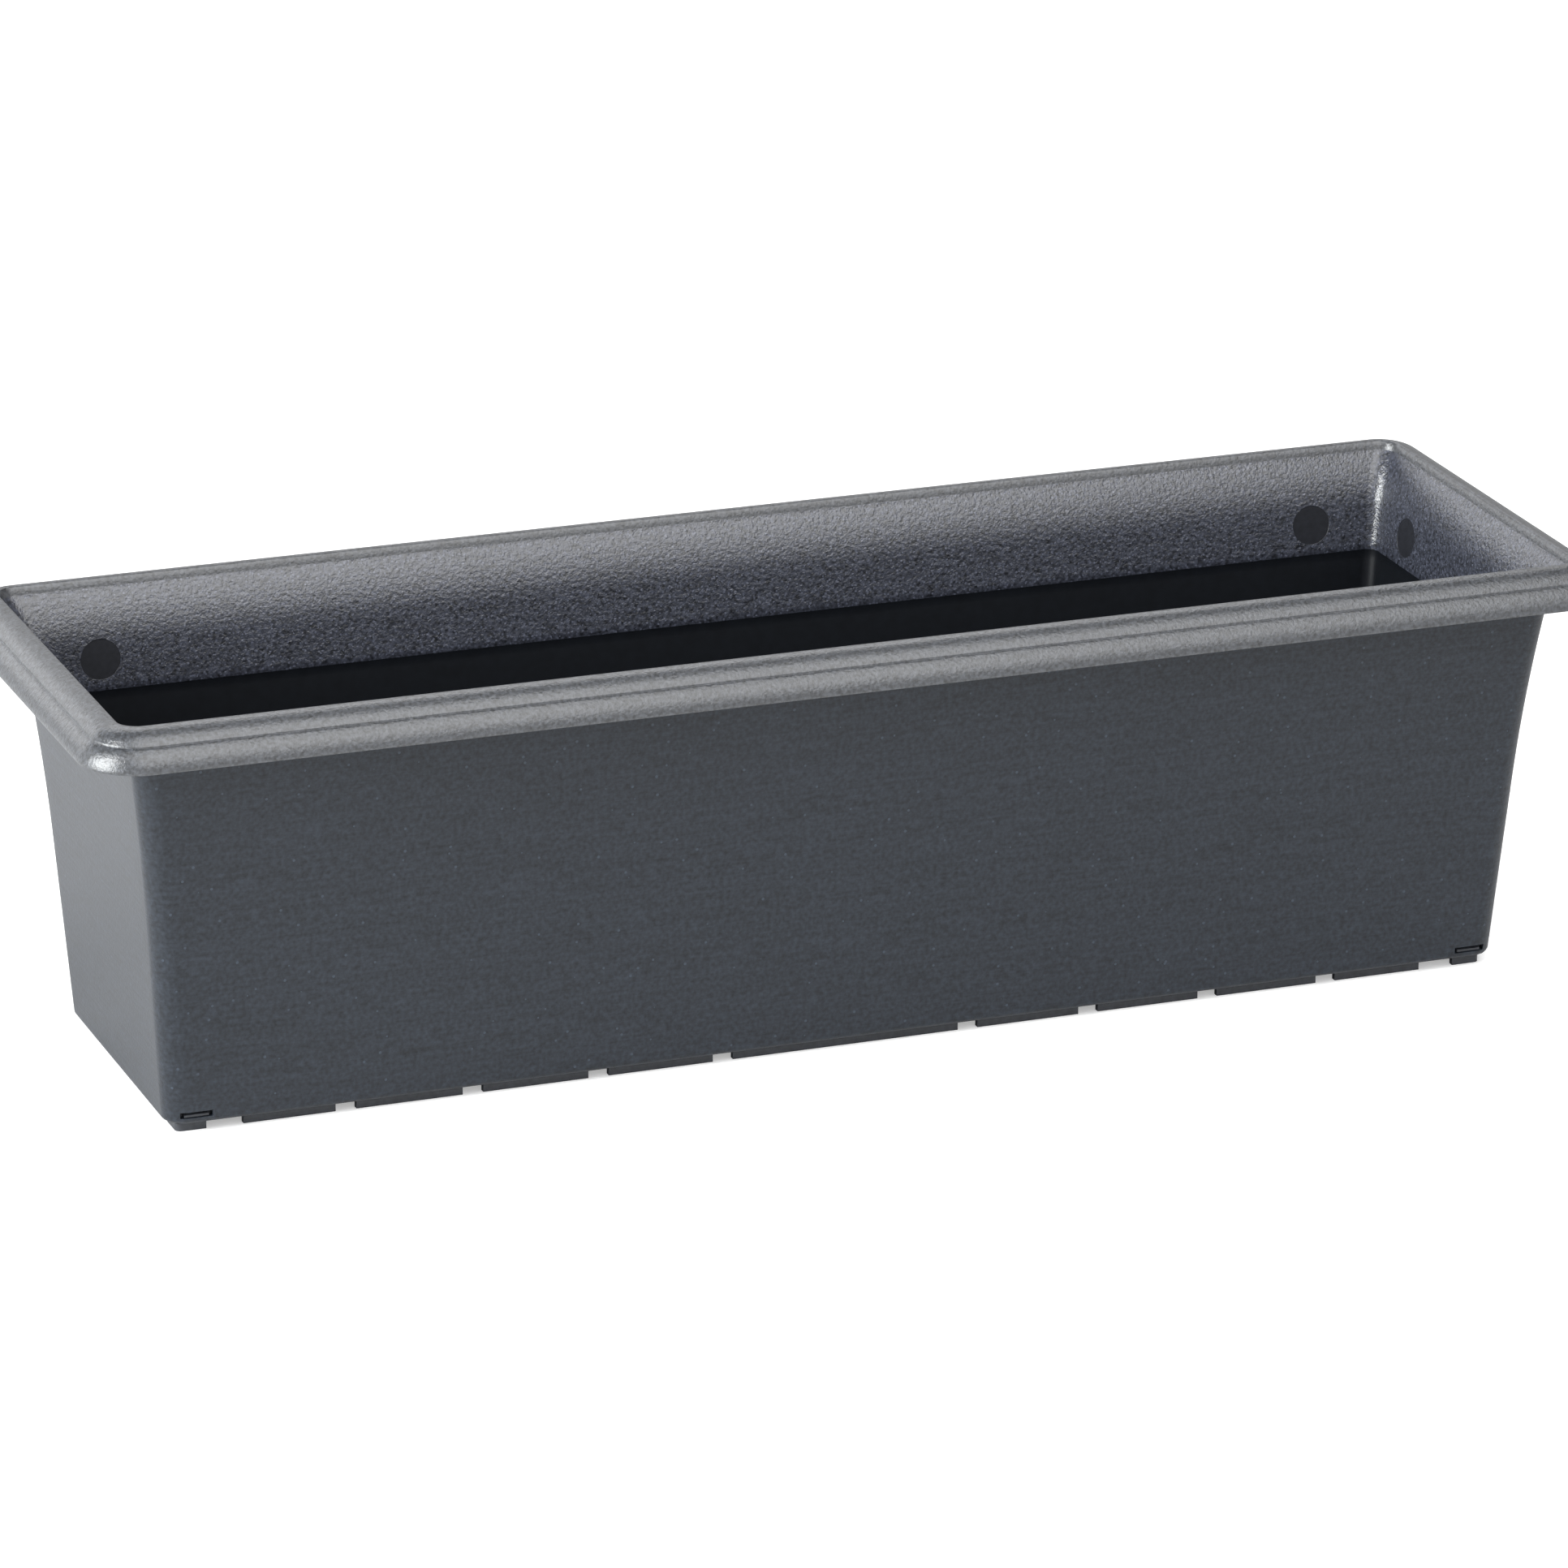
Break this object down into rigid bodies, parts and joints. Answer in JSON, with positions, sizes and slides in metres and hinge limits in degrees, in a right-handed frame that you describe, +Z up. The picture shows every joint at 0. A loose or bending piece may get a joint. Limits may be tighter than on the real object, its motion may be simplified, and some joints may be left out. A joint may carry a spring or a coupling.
{
  "type": "window box planter",
  "caption": "Long drafted trough for plants with a stepped, rolled lip and rounded corners, standing on a shallow drip tray with castellated feet that clips in from below.",
  "frame": {"origin": "on the ground, under the middle of the box", "axes": "+X along the box, +Y across it to the back, +Z up"},
  "size_m": [0.6, 0.2, 0.1663],
  "materials": {
    "box_plastic": "satin, fine grain outside and on the lip, coarse grain inside",
    "tray_plastic": "satin"
  },
  "bodies": {
    "tray": {"base_tray": "tray_plastic", "snap_lugs": "tray_plastic"},
    "box": {"planter_box": "box_plastic"}
  },
  "joints": [
    {"name": "box_lift", "type": "slide", "parent": "tray", "child": "box", "axis": [0, 0, 1], "range_m": [0, 0.018], "deforming": ["snap_lugs"]}
  ]
}
